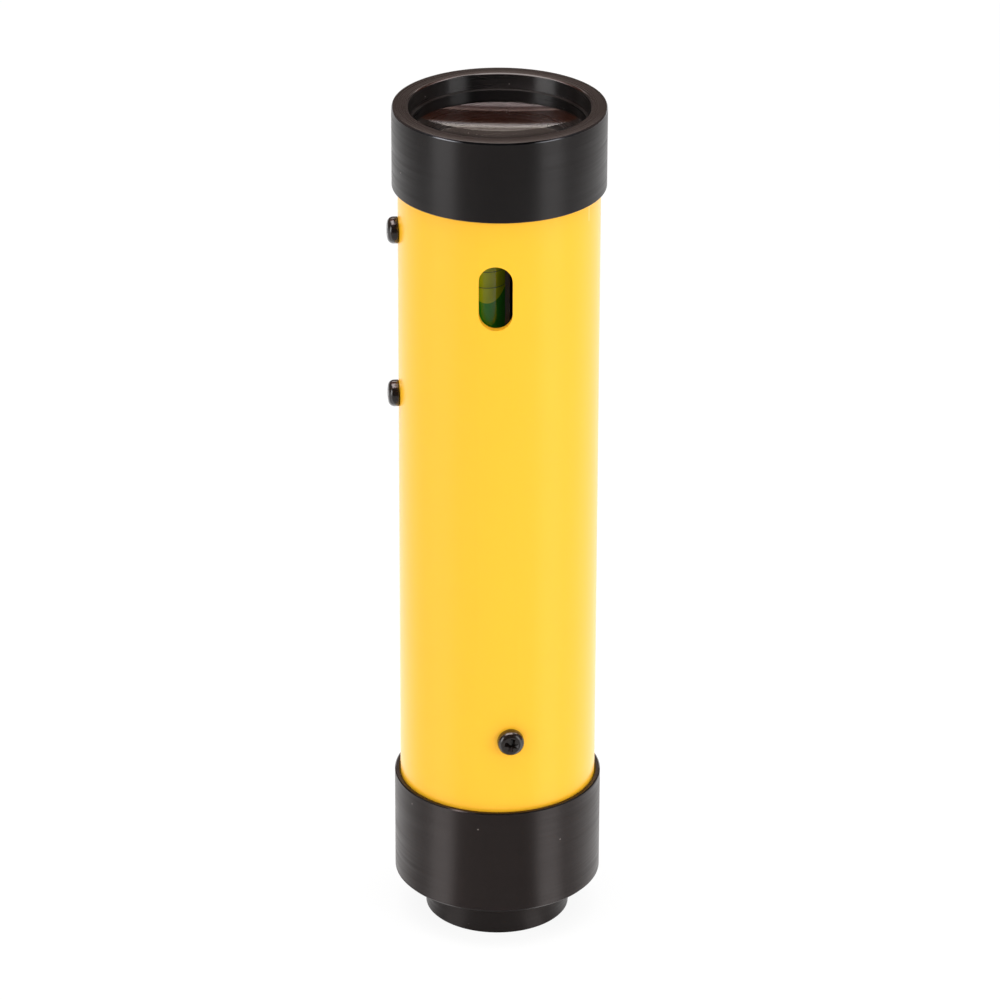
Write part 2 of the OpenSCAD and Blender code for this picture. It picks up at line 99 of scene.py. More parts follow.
# floor, world and lamps
stageSet = {
    "floorRadius": 2.5, "floorSides": 96, "floorColour": "#f7f6f5", "glow": 1.02, "ambient": 0.537,
    "shadowShare": 0.12, "lampAim": 80 * mm,
}
lampSet = [
    # name, azimuth, elevation, distance, width, height, radiance
    ("softboxLeft", -56, 14, 0.75, 0.47, 0.62, 2.14),
    ("softboxRight", 55, 14, 0.75, 0.40, 0.62, 3.3),
    ("softboxTop", 0, 90, 0.9, 1.2, 0.66, 3.17),
]
# what gloss and glass see instead of the lamps: azimuth from the camera's side, strength, colour
white, warm = "#ffffff", "#ffe4d8"
floorRamp = [(azimuth, strength, white) for azimuth, strength in (
    (-180, 1.35), (-140, 1.3), (-120, 1.05), (-104, 0.70), (-92, 0.50), (-82, 0.60), (-76, 0.95), (-54, 0.95),
    (-44, 0.22), (-30, 0.20), (34, 0.20), (45, 0.36), (53, 1.25), (72, 1.25), (80, 0.55), (94, 0.55),
    (105, 0.78), (120, 1.05), (140, 1.25), (180, 1.35))]
# close to the part the bands are brighter and turn outwards: it sees them where boxes further off would stand
nearFloor = {"from": 0.03, "to": 0.2, "gain": 1.25, "turn": 10.4 * mm, "farTurn": 0.97}
horizonRamp = [
    (-180, 0.22, warm), (-112, 0.20, warm), (-90, 0.1, white), (-74, 0.1, white), (-68, 2.8, white),
    (-48, 2.8, white), (-42, 0.2, white), (-36, 0.03, white), (36, 0.03, white), (42, 0.2, white),
    (48, 1.8, white), (66, 1.8, white), (73, 0.1, white), (90, 0.1, white), (112, 0.20, warm), (180, 0.22, warm),
]
# the ceiling: soft boxes and the dark gaps between them, which the objective's back shows as straight bands.
# The first number is the angle from the horizon behind, over the top, to the horizon in front.
ceilingRamp = [
    (0, 0.22, "#ffeae0"), (28, 0.22, "#ffeae0"), (30, 1.6, "#fff0e4"), (33.5, 1.8, "#fff0e4"), (35, 0.8, "#ffe0d0"),
    (37, 2.8, "#fff0e4"), (40, 4.4, "#fff4ec"), (43, 2.6, "#fff0f0"), (46, 0.7, "#ffc0a8"), (48, 0.34, "#ff9470"),
    (63.5, 0.30, "#ff9470"), (64, 2.6, "#ffd4c8"), (66, 2.4, "#ffd4c8"), (67, 1.2, "#ffc8c0"),
    (69.4, 1.2, "#ffc8c0"), (70, 4.2, "#ffe6e4"), (76, 4.2, "#ffe6e4"), (79, 5.4, "#fff8f4"), (109, 5.0, "#ffe6e4"),
    (112, 0.03, white), (180, 0.03, white),
]
# rays steeper than "from" see it. Its panel overhead ends to the left and right of the sight line, and none of it
# shines from further to the sides than "reach".
ceilingSet = {"from": 0.50, "reach": 0.66, "panelFrom": 82, "leftEnd": (-0.48, -0.58), "rightEnd": (0.22, 0.30),
              "dimmedBy": 0.95}


# 1 for a ray straight from the camera or by way of gloss or glass, and 1 for one by way of these alone
def whiteForSeenRays(tree):
    rays = addNode(tree, "ShaderNodeLightPath").outputs
    indirect = addNode(tree, "ShaderNodeMath", {"operation": "ADD", "use_clamp": True},
                       {0: rays["Is Glossy Ray"], 1: rays["Is Transmission Ray"]})
    seen = addNode(tree, "ShaderNodeMath", {"operation": "ADD", "use_clamp": True},
                   {0: rays["Is Camera Ray"], 1: indirect})
    return seen, indirect


# the colours of a ramp by angle, as shares of the strongest light in it, and that strength
def strengthRamp(tree, points, angle):
    first, last = math.radians(points[0][0]), math.radians(points[-1][0])
    share = addNode(tree, "ShaderNodeMapRange", {"From Min": first, "From Max": last}, {"Value": angle})
    made = addNode(tree, "ShaderNodeValToRGB", links={"Fac": share})
    strongest = max(strength for place, strength, colour in points)
    stops = made.color_ramp.elements
    for place, strength, colour in points[1:-1]:
        stops.new((math.radians(place) - first) / (last - first))
    for stop, (place, strength, colour) in zip(stops, points):
        stop.color = tuple(channel * strength / strongest for channel in hexColour(colour)[:3]) + (1,)
    return made.outputs["Color"], strongest


# the angle round the sight line, from the camera's side
def azimuthOf(tree, sides):
    forwards = addNode(tree, "ShaderNodeMath", {"operation": "MULTIPLY", 1: -1.0}, {0: sides["Y"]})
    return addNode(tree, "ShaderNodeMath", {"operation": "ARCTAN2"}, {0: sides["X"], 1: forwards})


bpy.ops.object.select_all(action="DESELECT")
bpy.ops.mesh.primitive_circle_add(vertices=stageSet["floorSides"], radius=stageSet["floorRadius"], fill_type="NGON")
floor = bpy.context.object
floor.name = "stageFloor"
floorMaterial, tree = newMaterial("whiteSweep")
diffuse = addNode(tree, "ShaderNodeBsdfDiffuse", {"Color": hexColour(stageSet["floorColour"])})
spot = addNode(tree, "ShaderNodeTexCoord").outputs["Object"]
sides = addNode(tree, "ShaderNodeSeparateXYZ", links={0: spot}).outputs
distance = addNode(tree, "ShaderNodeVectorMath", {"operation": "LENGTH"}, {0: spot}).outputs["Value"]
nearTurn = addNode(tree, "ShaderNodeMath", {"operation": "DIVIDE", 0: nearFloor["turn"]}, {1: distance})
outwards = addNode(tree, "ShaderNodeMath", {"operation": "ADD", 1: nearFloor["farTurn"]}, {0: nearTurn})
angle = addNode(tree, "ShaderNodeMath", {"operation": "MULTIPLY"}, {0: azimuthOf(tree, sides), 1: outwards})
colour, strength = strengthRamp(tree, floorRamp, angle)
near = addNode(tree, "ShaderNodeMapRange", {"From Min": nearFloor["from"], "From Max": nearFloor["to"],
                                            "To Min": nearFloor["gain"] * strength, "To Max": strength},
               {"Value": distance})
sheen = addNode(tree, "ShaderNodeEmission", links={"Color": colour, "Strength": near})
plainGlow = addNode(tree, "ShaderNodeEmission", {"Strength": stageSet["glow"]})
seen, indirect = whiteForSeenRays(tree)
glow = addNode(tree, "ShaderNodeMixShader", links={0: indirect, 1: plainGlow, 2: sheen})
share = addNode(tree, "ShaderNodeMath", {"operation": "MULTIPLY", 1: 1 - stageSet["shadowShare"]}, {0: seen})
mixed = addNode(tree, "ShaderNodeMixShader", links={0: share, 1: diffuse, 2: glow})
addNode(tree, "ShaderNodeOutputMaterial", links={"Surface": mixed})
floor.data.materials.append(floorMaterial)

world = bpy.data.worlds.new("lightTent")
bpy.context.scene.world = world
world.use_nodes = True
tree = world.node_tree
tree.nodes.clear()
way = addNode(tree, "ShaderNodeTexCoord").outputs["Generated"]
sides = addNode(tree, "ShaderNodeSeparateXYZ", links={0: way}).outputs
seen, indirect = whiteForSeenRays(tree)
plainStrength = addNode(tree, "ShaderNodeMath", {"operation": "MULTIPLY_ADD", 1: 1 - stageSet["ambient"],
                                                 2: stageSet["ambient"]}, {0: seen})
plainSky = addNode(tree, "ShaderNodeBackground", {"Color": (1, 1, 1, 1)}, {"Strength": plainStrength})
colour, strength = strengthRamp(tree, horizonRamp, azimuthOf(tree, sides))
horizon = addNode(tree, "ShaderNodeBackground", {"Strength": strength}, {"Color": colour})
overBack = addNode(tree, "ShaderNodeMath", {"operation": "ARCCOSINE"}, {0: sides["Y"]})
colour, strength = strengthRamp(tree, ceilingRamp, overBack)
pastLeft, pastRight = [
    addNode(tree, "ShaderNodeMapRange", {"From Min": inner, "From Max": outer}, {"Value": sides["X"]})
    for inner, outer in (ceilingSet["leftEnd"], ceilingSet["rightEnd"])]
past = addNode(tree, "ShaderNodeMath", {"operation": "ADD"}, {0: pastLeft, 1: pastRight})
overhead = addNode(tree, "ShaderNodeMath", {"operation": "GREATER_THAN",
                                            1: math.radians(ceilingSet["panelFrom"])}, {0: overBack})
pastPanel = addNode(tree, "ShaderNodeMath", {"operation": "MULTIPLY"}, {0: past, 1: overhead})
sideways = addNode(tree, "ShaderNodeMath", {"operation": "ABSOLUTE"}, {0: sides["X"]})
outOfReach = addNode(tree, "ShaderNodeMath", {"operation": "GREATER_THAN", 1: ceilingSet["reach"]}, {0: sideways})
unlit = addNode(tree, "ShaderNodeMath", {"operation": "MAXIMUM"}, {0: pastPanel, 1: outOfReach})
ceilingStrength = addNode(tree, "ShaderNodeMath", {"operation": "MULTIPLY_ADD", 2: strength,
                                                   1: -ceilingSet["dimmedBy"] * strength}, {0: unlit})
ceiling = addNode(tree, "ShaderNodeBackground", links={"Color": colour, "Strength": ceilingStrength})
steep = addNode(tree, "ShaderNodeMath", {"operation": "GREATER_THAN", 1: ceilingSet["from"]}, {0: sides["Z"]})
room = addNode(tree, "ShaderNodeMixShader", links={0: steep, 1: horizon, 2: ceiling})
tent = addNode(tree, "ShaderNodeMixShader", links={0: indirect, 1: plainSky, 2: room})
addNode(tree, "ShaderNodeOutputWorld", links={"Surface": tent})

for name, azimuth, elevation, distance, width, height, radiance in lampSet:
    a, e = math.radians(azimuth + cameraView["azimuth"]), math.radians(elevation)
    away = Vector((math.sin(a) * math.cos(e), -math.cos(a) * math.cos(e), math.sin(e)))
    bpy.ops.object.light_add(type="AREA", location=Vector((0, 0, stageSet["lampAim"])) + away * distance)
    lamp = bpy.context.object
    lamp.name = name
    lamp.rotation_euler = away.to_track_quat("Z", "Y").to_euler()
    lamp.data.shape = "RECTANGLE"
    lamp.data.size = width
    lamp.data.size_y = height
    lamp.data.energy = radiance * math.pi * width * height
    lamp.visible_camera = False
    lamp.visible_glossy = lamp.visible_transmission = False
print("stage and lamps set")


# the place on the surface, its height, the place without its height, and how far it is from the sight line
def places(tree):
    spot = addNode(tree, "ShaderNodeTexCoord").outputs["Object"]
    sides = addNode(tree, "ShaderNodeSeparateXYZ", links={0: spot}).outputs
    flat = addNode(tree, "ShaderNodeCombineXYZ", links={"X": sides["X"], "Y": sides["Y"]})
    radius = addNode(tree, "ShaderNodeVectorMath", {"operation": "LENGTH"}, {0: flat}).outputs["Value"]
    return {"spot": spot, "height": sides["Z"], "flat": flat, "radius": radius}


# powder-coated enamel: smooth and half glossy, with a very fine orange peel. In full light its red is at white
# level, so that the paint looks yellow there and more orange in the shade
enamel = {"colour": "#ffbe28", "bore": "#141312", "boreRadius": 16.56, "roughness": 0.29, "specular": 0.43,
          "peelMm": 0.9, "peelDepthMm": 0.004, "peelDetail": 2.0, "peelStrength": 0.35}
# one pale upright scuff on it, right of the window
scuff = {"colour": "#fff6c8", "x": 16.04, "y": -8.17, "low": 140.6, "high": 143.4, "halfWidth": 0.22,
         "strength": 0.35}
enamelMaterial, tree = newMaterial("yellowPowderEnamel")
place = places(tree)
peel = addNode(tree, "ShaderNodeTexNoise", {"Scale": 1 / (enamel["peelMm"] * mm), "Detail": enamel["peelDetail"]},
               {"Vector": place["spot"]})
bump = addNode(tree, "ShaderNodeBump", {"Strength": enamel["peelStrength"], "Distance": enamel["peelDepthMm"] * mm},
               {"Height": peel.outputs["Fac"]})
middle = (scuff["x"] * mm, scuff["y"] * mm, 0)
beside = addNode(tree, "ShaderNodeVectorMath", {"operation": "DISTANCE", 1: middle}, {0: place["flat"]})
across = addNode(tree, "ShaderNodeMapRange", {"From Min": scuff["halfWidth"] * mm, "From Max": 0.0,
                                              "To Max": scuff["strength"]}, {"Value": beside.outputs["Value"]})
above = addNode(tree, "ShaderNodeMath", {"operation": "GREATER_THAN", 1: scuff["low"] * mm}, {0: place["height"]})
below = addNode(tree, "ShaderNodeMath", {"operation": "LESS_THAN", 1: scuff["high"] * mm}, {0: place["height"]})
along = addNode(tree, "ShaderNodeMath", {"operation": "MULTIPLY"}, {0: above, 1: below})
share = addNode(tree, "ShaderNodeMath", {"operation": "MULTIPLY"}, {0: across, 1: along})
rubbed = addNode(tree, "ShaderNodeMix", {"data_type": "RGBA", 6: hexColour(enamel["colour"]),
                                         7: hexColour(scuff["colour"])}, {0: share})
inside = addNode(tree, "ShaderNodeMath", {"operation": "LESS_THAN", 1: enamel["boreRadius"] * mm},
                 {0: place["radius"]})
colour = addNode(tree, "ShaderNodeMix", {"data_type": "RGBA", 7: hexColour(enamel["bore"])},
                 {0: inside, 6: rubbed.outputs[2]})
shader = addNode(tree, "ShaderNodeBsdfPrincipled", {"Roughness": enamel["roughness"],
                                                    "Specular IOR Level": enamel["specular"]},
                 {"Base Color": colour.outputs[2], "Normal": bump})
addNode(tree, "ShaderNodeOutputMaterial", links={"Surface": shader})

patternSpan = (0.3, 0.7)  # a noise stays mostly between these two
turned = {"across": 0.25, "stretch": 60, "detail": 3.0, "bump": 0.5, "smoother": 0.05, "rougher": 0.07}
# a few specks of dust, as the caps show in the photograph
dust = {"apartMm": 4.5, "sizeMm": 0.13, "colour": "#8c8480"}


# black anodised aluminium, turned on a lathe: fine rings round the sight line stretch the highlights upwards.
# Real turned lines are finer, and these are as coarse as they need to be to show.
def anodised(name, colour, roughness, anisotropy, lineMm, lineDepthMm, specular, tint="#fffbfb"):
    made, tree = newMaterial(name)
    place = places(tree)
    linesPerMetre = 1 / (lineMm * mm)
    stretched = addNode(tree, "ShaderNodeVectorMath",
                        {"operation": "MULTIPLY", 1: (turned["stretch"], turned["stretch"], linesPerMetre)},
                        {0: place["spot"]})
    outwards = addNode(tree, "ShaderNodeMath", {"operation": "MULTIPLY", 1: linesPerMetre}, {0: place["radius"]})
    lines = addNode(tree, "ShaderNodeTexNoise", {"noise_dimensions": "4D", "Scale": 1.0, "Detail": turned["detail"]},
                    {"Vector": stretched, "W": outwards})
    bump = addNode(tree, "ShaderNodeBump", {"Strength": turned["bump"], "Distance": lineDepthMm * mm},
                   {"Height": lines.outputs["Fac"]})
    rough = addNode(tree, "ShaderNodeMapRange", {"From Min": patternSpan[0], "From Max": patternSpan[1],
                                                 "To Min": roughness - turned["smoother"],
                                                 "To Max": roughness + turned["rougher"]},
                    {"Value": lines.outputs["Fac"]})
    tangent = addNode(tree, "ShaderNodeTangent", {"direction_type": "RADIAL", "axis": "Z"})
    cells = addNode(tree, "ShaderNodeTexVoronoi", {"Scale": 1 / (dust["apartMm"] * mm), "Randomness": 1.0},
                    {"Vector": place["spot"]})
    speck = addNode(tree, "ShaderNodeMath", {"operation": "LESS_THAN", 1: dust["sizeMm"] / dust["apartMm"]},
                    {0: cells.outputs["Distance"]})
    dusty = addNode(tree, "ShaderNodeMix", {"data_type": "RGBA", 6: hexColour(colour),
                                            7: hexColour(dust["colour"])}, {0: speck})
    shader = addNode(tree, "ShaderNodeBsdfPrincipled",
                     {"Specular IOR Level": specular, "Specular Tint": hexColour(tint), "Anisotropic": anisotropy,
                      "Anisotropic Rotation": turned["across"]},
                     {"Base Color": dusty.outputs[2], "Roughness": rough, "Normal": bump, "Tangent": tangent})
    addNode(tree, "ShaderNodeOutputMaterial", links={"Surface": shader})
    return made


# the numbers: roughness, anisotropy, spacing and depth of the turned lines in mm, specular level.
# The caps are near black with soft upright highlights, the lower one browner and its lines plainer
capMaterial = anodised("blackAnodisedTurned", "#121010", 0.36, 1.0, 0.30, 0.002, 0.5)
lowerCapMaterial = anodised("blackAnodisedTurnedLower", "#171211", 0.36, 1.0, 0.30, 0.010, 0.62, "#fff4f2")
# the stub is duller and greyer
stubMaterial = anodised("blackAnodisedStub", "#231f1e", 0.5, 0.5, 0.30, 0.002, 0.25, "#fff4f2")
# faced ends shine brown, bored walls mirror the soft boxes, and the ring stays dark
faceMaterial = anodised("blackAnodisedFaced", "#110b0a", 0.28, 0.4, 0.25, 0.002, 0.32, "#fff0ee")
boreMaterial = anodised("blackAnodisedBored", "#0b0b0b", 0.30, 1.0, 0.25, 0.002, 1.0)
ringMaterial = anodised("blackAnodisedRing", "#1c1a19", 0.36, 1.0, 0.25, 0.002, 0.25)
# inside, matt black that swallows stray light
innerMaterial = anodised("blackAnodisedInner", "#0e0d0d", 0.6, 0.0, 0.4, 0.004, 0.3)


# a grain over the surface, and a roughness that goes with it from one of the two ends to the other
def grainAndRoughness(tree, grainMm, detail, ends, span=patternSpan):
    spot = addNode(tree, "ShaderNodeTexCoord").outputs["Object"]
    grain = addNode(tree, "ShaderNodeTexNoise", {"Scale": 1 / (grainMm * mm), "Detail": detail}, {"Vector": spot})
    rough = addNode(tree, "ShaderNodeMapRange", {"From Min": span[0], "From Max": span[1], "To Min": ends[0],
                                                 "To Max": ends[1]}, {"Value": grain.outputs["Fac"]})
    return grain.outputs["Fac"], rough


# an even colour whose gloss a grain breaks up a little; the grain is coarser than the real one, so that it shows
def glossy(name, colour, specular, grainMm, detail, ends):
    made, tree = newMaterial(name)
    rough = grainAndRoughness(tree, grainMm, detail, ends)[1]
    shader = addNode(tree, "ShaderNodeBsdfPrincipled", {"Base Color": hexColour(colour),
                                                        "Specular IOR Level": specular}, {"Roughness": rough})
    addNode(tree, "ShaderNodeOutputMaterial", links={"Surface": shader})
    return made


# the small bevels on the black parts: cut last, smoother than the turned faces
edgeMaterial = glossy("blackAnodisedBevel", "#0c0b0b", 0.7, 0.5, 2.0, (0.10, 0.18))
# blackened steel: oiled and rather glossy
screwMaterial = glossy("blackOxideSteel", "#1a1310", 1.0, 0.35, 3.0, (0.12, 0.22))

mottled = {"detail": 3.0, "smoother": 0.8, "rougher": 1.2}


# a fine grain in the colour and in the gloss
def grained(name, colour, otherColour, roughness, grainMm, metallic=0.0):
    made, tree = newMaterial(name)
    grain, rough = grainAndRoughness(tree, grainMm, mottled["detail"],
                                     (roughness * mottled["smoother"], roughness * mottled["rougher"]))
    mixed = addNode(tree, "ShaderNodeMix", {"data_type": "RGBA", 6: hexColour(colour), 7: hexColour(otherColour)},
                    {0: grain})
    shader = addNode(tree, "ShaderNodeBsdfPrincipled", {"Metallic": metallic},
                     {"Base Color": mixed.outputs[2], "Roughness": rough})
    addNode(tree, "ShaderNodeOutputMaterial", links={"Surface": shader})
    return made


# the cap's outer bevel, where handling has worn the black off
wornMaterial = grained("wornAluminiumEdge", "#66666a", "#747478", 0.15, 0.5, 1.0)
# front-silvered glass: a clean mirror
mirrorMaterial = grained("silverMirror", "#e6e8e8", "#dcdcd4", 0.04, 1.5, 1.0)
# dark grey cement, dull, and ink as thin dark green lines
cementMaterial = grained("plugCement", "#26251d", "#34332a", 0.6, 0.4)
inkMaterial = grained("vialInk", "#2c3c08", "#445010", 0.6, 0.3)

smears = {"detail": 2.0, "span": (0.45, 0.75)}


# polished glass, with smears from wiping that blur it a little here and there
def glass(name, colour, ior, smearMm, smearRoughness):
    made, tree = newMaterial(name)
    rough = grainAndRoughness(tree, smearMm, smears["detail"], (0.0, smearRoughness), smears["span"])[1]
    shader = addNode(tree, "ShaderNodeBsdfPrincipled", {"Base Color": hexColour(colour), "IOR": ior,
                                                        "Transmission Weight": 1.0}, {"Roughness": rough})
    addNode(tree, "ShaderNodeOutputMaterial", links={"Surface": shader})
    return made


lensMaterial = glass("crownGlass", "#ffffff", 1.52, 5.0, 0.03)
vialMaterial = glass("vialGlass", "#f4f8e0", 1.47, 2.0, 0.06)

# the span across the vial over which the painted glow goes from painted light to painted shade, shifted here and
# there by clouds
filling = {"cloudMm": 2.5, "cloudDetail": 1.0, "cloudShift": 0.8 * mm, "left": -4.2 * mm, "right": 1.4 * mm,
           "roughness": 0.25}


# what fills the vial: a painted glow stands in for daylight through the port behind it. It is painted light at its
# left side and painted shade at its right, where the window's right edge shades it
def vialFillingPaintedGlow(name, colour, paintedLightLeft, paintedShadeRight, paintedGlowStrength):
    made, tree = newMaterial(name)
    spot = addNode(tree, "ShaderNodeTexCoord").outputs["Object"]
    sides = addNode(tree, "ShaderNodeSeparateXYZ", links={0: spot}).outputs
    clouds = addNode(tree, "ShaderNodeTexNoise", {"Scale": 1 / (filling["cloudMm"] * mm),
                                                  "Detail": filling["cloudDetail"]}, {"Vector": spot})
    shifted = addNode(tree, "ShaderNodeMath", {"operation": "MULTIPLY_ADD", 1: filling["cloudShift"]},
                      {0: clouds.outputs["Fac"], 2: sides["X"]})
    across = addNode(tree, "ShaderNodeMapRange", {"interpolation_type": "SMOOTHSTEP", "From Min": filling["left"],
                                                  "From Max": filling["right"]}, {"Value": shifted})
    paintedGlowColour = addNode(tree, "ShaderNodeMix", {"data_type": "RGBA", 6: hexColour(paintedLightLeft), 7: hexColour(paintedShadeRight)},
                    {0: across})
    shader = addNode(tree, "ShaderNodeBsdfPrincipled",
                     {"Base Color": hexColour(colour), "Roughness": filling["roughness"],
                      "Emission Strength": paintedGlowStrength}, {"Emission Color": paintedGlowColour.outputs[2]})
    addNode(tree, "ShaderNodeOutputMaterial", links={"Surface": shader})
    return made


# spirit and air both carry a painted glow: painted light at the left, painted shade at the right
spiritMaterial = vialFillingPaintedGlow("greenSpiritPaintedGlow", "#1c6a14", "#206a0c", "#0c2606", 0.6)
airMaterial = vialFillingPaintedGlow("airInVialPaintedGlow", "#8c8c14", "#7c8408", "#2c3002", 0.85)

finishes = {
    "yellow_enamel": enamelMaterial, "black_anodised": capMaterial, "screw_steel": screwMaterial,
    "inner_black": innerMaterial, "lens_glass": lensMaterial, "vial_glass": vialMaterial,
    "green_spirit": spiritMaterial, "air": airMaterial, "mirror": mirrorMaterial, "plug_cement": cementMaterial,
}
ownFinish = {"eyepiece_cap": lowerCapMaterial, "eye_cell": stubMaterial, "objective_retaining_ring": ringMaterial}
for part in frame["record"]["subparts"]:
    name = part["node"]
    slots = nodes[name].data.materials
    slots.clear()
    slots.append(ownFinish.get(name, finishes[part["material_slot"]]))
print("materials on", len(nodes), "nodes")


def deselect():
    bpy.ops.object.select_all(action="DESELECT")


def pick(piece):
    deselect()
    piece.select_set(True)
    bpy.context.view_layer.objects.active = piece


def closeMesh():
    bpy.ops.object.mode_set(mode="EDIT")
    bpy.ops.mesh.select_all(action="SELECT")
    bpy.ops.mesh.remove_doubles(threshold=1e-6)
    bpy.ops.mesh.normals_make_consistent(inside=False)
    bpy.ops.object.mode_set(mode="OBJECT")


# a circle is laid out as half a cross section, radius and height in mm, and spun round the sight line
def turnedPiece(name, outline, steps=192):
    deselect()
    bpy.ops.mesh.primitive_circle_add(vertices=len(outline), radius=1, fill_type="NOTHING")
    piece = bpy.context.object
    piece.name = name
    for vertex, (radius, height) in zip(piece.data.vertices, outline):
        vertex.co = (radius * mm, 0, height * mm)
    bpy.ops.object.mode_set(mode="EDIT")
    bpy.ops.mesh.select_all(action="SELECT")
    bpy.ops.mesh.spin(steps=steps, angle=2 * math.pi, center=(0, 0, 0), axis=(0, 0, 1))
    bpy.ops.object.mode_set(mode="OBJECT")
    closeMesh()
    return piece


# a copy with a mesh of its own
def copyPiece(piece, name):
    pick(piece)
    bpy.ops.object.duplicate(linked=False)
    bpy.context.object.name = name
    return bpy.context.object


def applyModifier(piece, kind, settings):
    bpy.context.view_layer.objects.active = piece
    made = piece.modifiers.new(kind.title(), kind)
    for name, value in settings.items():
        setattr(made, name, value)
    bpy.ops.object.modifier_apply(modifier=made.name)


def roundEdges(piece, width, fromAngle):
    applyModifier(piece, "BEVEL", {"width": width * mm, "segments": 2, "limit_method": "ANGLE",
                                   "angle_limit": math.radians(fromAngle)})


def smooth(piece, angle=40):
    pick(piece)
    bpy.ops.object.shade_smooth_by_angle(angle=math.radians(angle))


# how much a face points up or down: less than the first in a wall, less than the second in a steep bevel, and
# more than the third in a level face
wallSlope, steepSlope, levelSlope = 0.25, 0.6, 0.93


# gives another finish to the faces whose slope lies between two values and that pass the test
def finishFaces(piece, material, low, high, test=lambda face: True):
    piece.data.materials.append(material)
    for face in piece.data.polygons:
        if low <= abs(face.normal.z) <= high and test(face):
            face.material_index = len(piece.data.materials) - 1


def facesInwards(face):
    return face.center.x * face.normal.x + face.center.y * face.normal.y < 0


# moves and turns the mesh itself, so that the object stays at the origin
def settle(piece, matrix):
    piece.data.transform(matrix)
    piece.data.update()


def dress(piece, material, body, replaced=()):
    piece.data.materials.clear()
    piece.data.materials.append(material)
    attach(piece, body)
    if replaced:
        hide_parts(*replaced)


# objective cap: rounded edges catch thin highlights
cap = {"outer": 19.05, "bore": 16.1, "ringBore": 15.95, "seat": 14.55, "skirt": 18.05,
       "low": 144.1, "web": 148.15, "seatHeight": 149.45, "ringHeight": 156.1, "top": 159.0,
       "outerEdge": (0.2, 0.36), "innerEdge": (0.3, 0.2), "dish": 0.07, "lowEdge": 0.15,
       "rounding": 0.04, "roundedFrom": 20, "smoothTo": 30}
innerTop = cap["top"] - cap["dish"]
objectiveCap = turnedPiece("objectiveCapTurned", [
    (cap["skirt"], cap["low"]),
    (cap["outer"] - cap["lowEdge"], cap["low"]),
    (cap["outer"], cap["low"] + cap["lowEdge"]),
    (cap["outer"], cap["top"] - cap["outerEdge"][1]),
    (cap["outer"] - cap["outerEdge"][0], cap["top"]),
    (cap["bore"] + cap["innerEdge"][0], innerTop),
    (cap["bore"], innerTop - cap["innerEdge"][1]),
    (cap["bore"], cap["ringHeight"]),
    (cap["ringBore"], cap["ringHeight"]),
    (cap["ringBore"], cap["seatHeight"]),
    (cap["seat"], cap["seatHeight"]),
    (cap["seat"], cap["web"]),
    (cap["skirt"], cap["web"])])
roundEdges(objectiveCap, cap["rounding"], cap["roundedFrom"])
smooth(objectiveCap, cap["smoothTo"])
dress(objectiveCap, capMaterial, "sight_tube", ["objective_cap"])
finishFaces(objectiveCap, wornMaterial, wallSlope, steepSlope)
finishFaces(objectiveCap, edgeMaterial, wallSlope, levelSlope,
            lambda face: facesInwards(face) or abs(face.normal.z) > steepSlope)
finishFaces(objectiveCap, faceMaterial, levelSlope, 1)
finishFaces(objectiveCap, boreMaterial, 0, wallSlope, facesInwards)

lowerCap = nodes["eyepiece_cap"]
finishFaces(lowerCap, edgeMaterial, wallSlope, levelSlope, lambda face: face.normal.z > 0)
finishFaces(lowerCap, faceMaterial, levelSlope, 1)

# objective: flat in front and bulging behind, drawn as one body because its halves are cemented
lens = {"radius": 15.9, "front": 154.1, "edge": 0.25, "bulge": 60.0, "arcPoints": 28, "sides": 160, "smoothTo": 30}
outline = [(0, lens["front"]), (lens["radius"], lens["front"])]
for i in range(lens["arcPoints"] + 1):
    r = lens["radius"] * (1 - i / lens["arcPoints"])
    rise = math.sqrt(lens["bulge"] ** 2 - r ** 2) - math.sqrt(lens["bulge"] ** 2 - lens["radius"] ** 2)
    outline.append((r, lens["front"] - lens["edge"] - rise))
objectiveGlass = turnedPiece("objectiveGlass", outline, lens["sides"])
smooth(objectiveGlass, lens["smoothTo"])
dress(objectiveGlass, lensMaterial, "sight_tube", ["objective_front_lens", "objective_rear_lens"])

# the ring that holds it, with a slope all round its top
ring = {"bore": 15.4, "outer": 15.94, "low": 154.1, "top": 156.08, "slope": 0.1, "smoothTo": 30}
objectiveRing = turnedPiece("objectiveRing", [
    (ring["bore"], ring["low"]), (ring["outer"], ring["low"]), (ring["outer"], ring["top"]),
    (ring["bore"], ring["top"] - ring["slope"])])
smooth(objectiveRing, ring["smoothTo"])
dress(objectiveRing, ringMaterial, "sight_tube", ["objective_retaining_ring"])
finishFaces(objectiveRing, boreMaterial, 0, wallSlope, facesInwards)
print("objective made")

# vial: the spirit and the bubble touch the glass, or the gap between them would mirror
vial = {"x": -1.65, "y": -12.895, "sides": 64}
vialPlace = Matrix.Translation((vial["x"] * mm, vial["y"] * mm, 0))
spirit = {"radius": 2.42, "low": 120.3, "high": 138.3}
vialSpirit = turnedPiece("vialSpirit", [(0, spirit["low"]), (spirit["radius"], spirit["low"]),
                                        (spirit["radius"], spirit["high"]), (0, spirit["high"])], vial["sides"])
settle(vialSpirit, vialPlace)
smooth(vialSpirit)
dress(vialSpirit, spiritMaterial, "sight_tube", ["vial_liquid"])

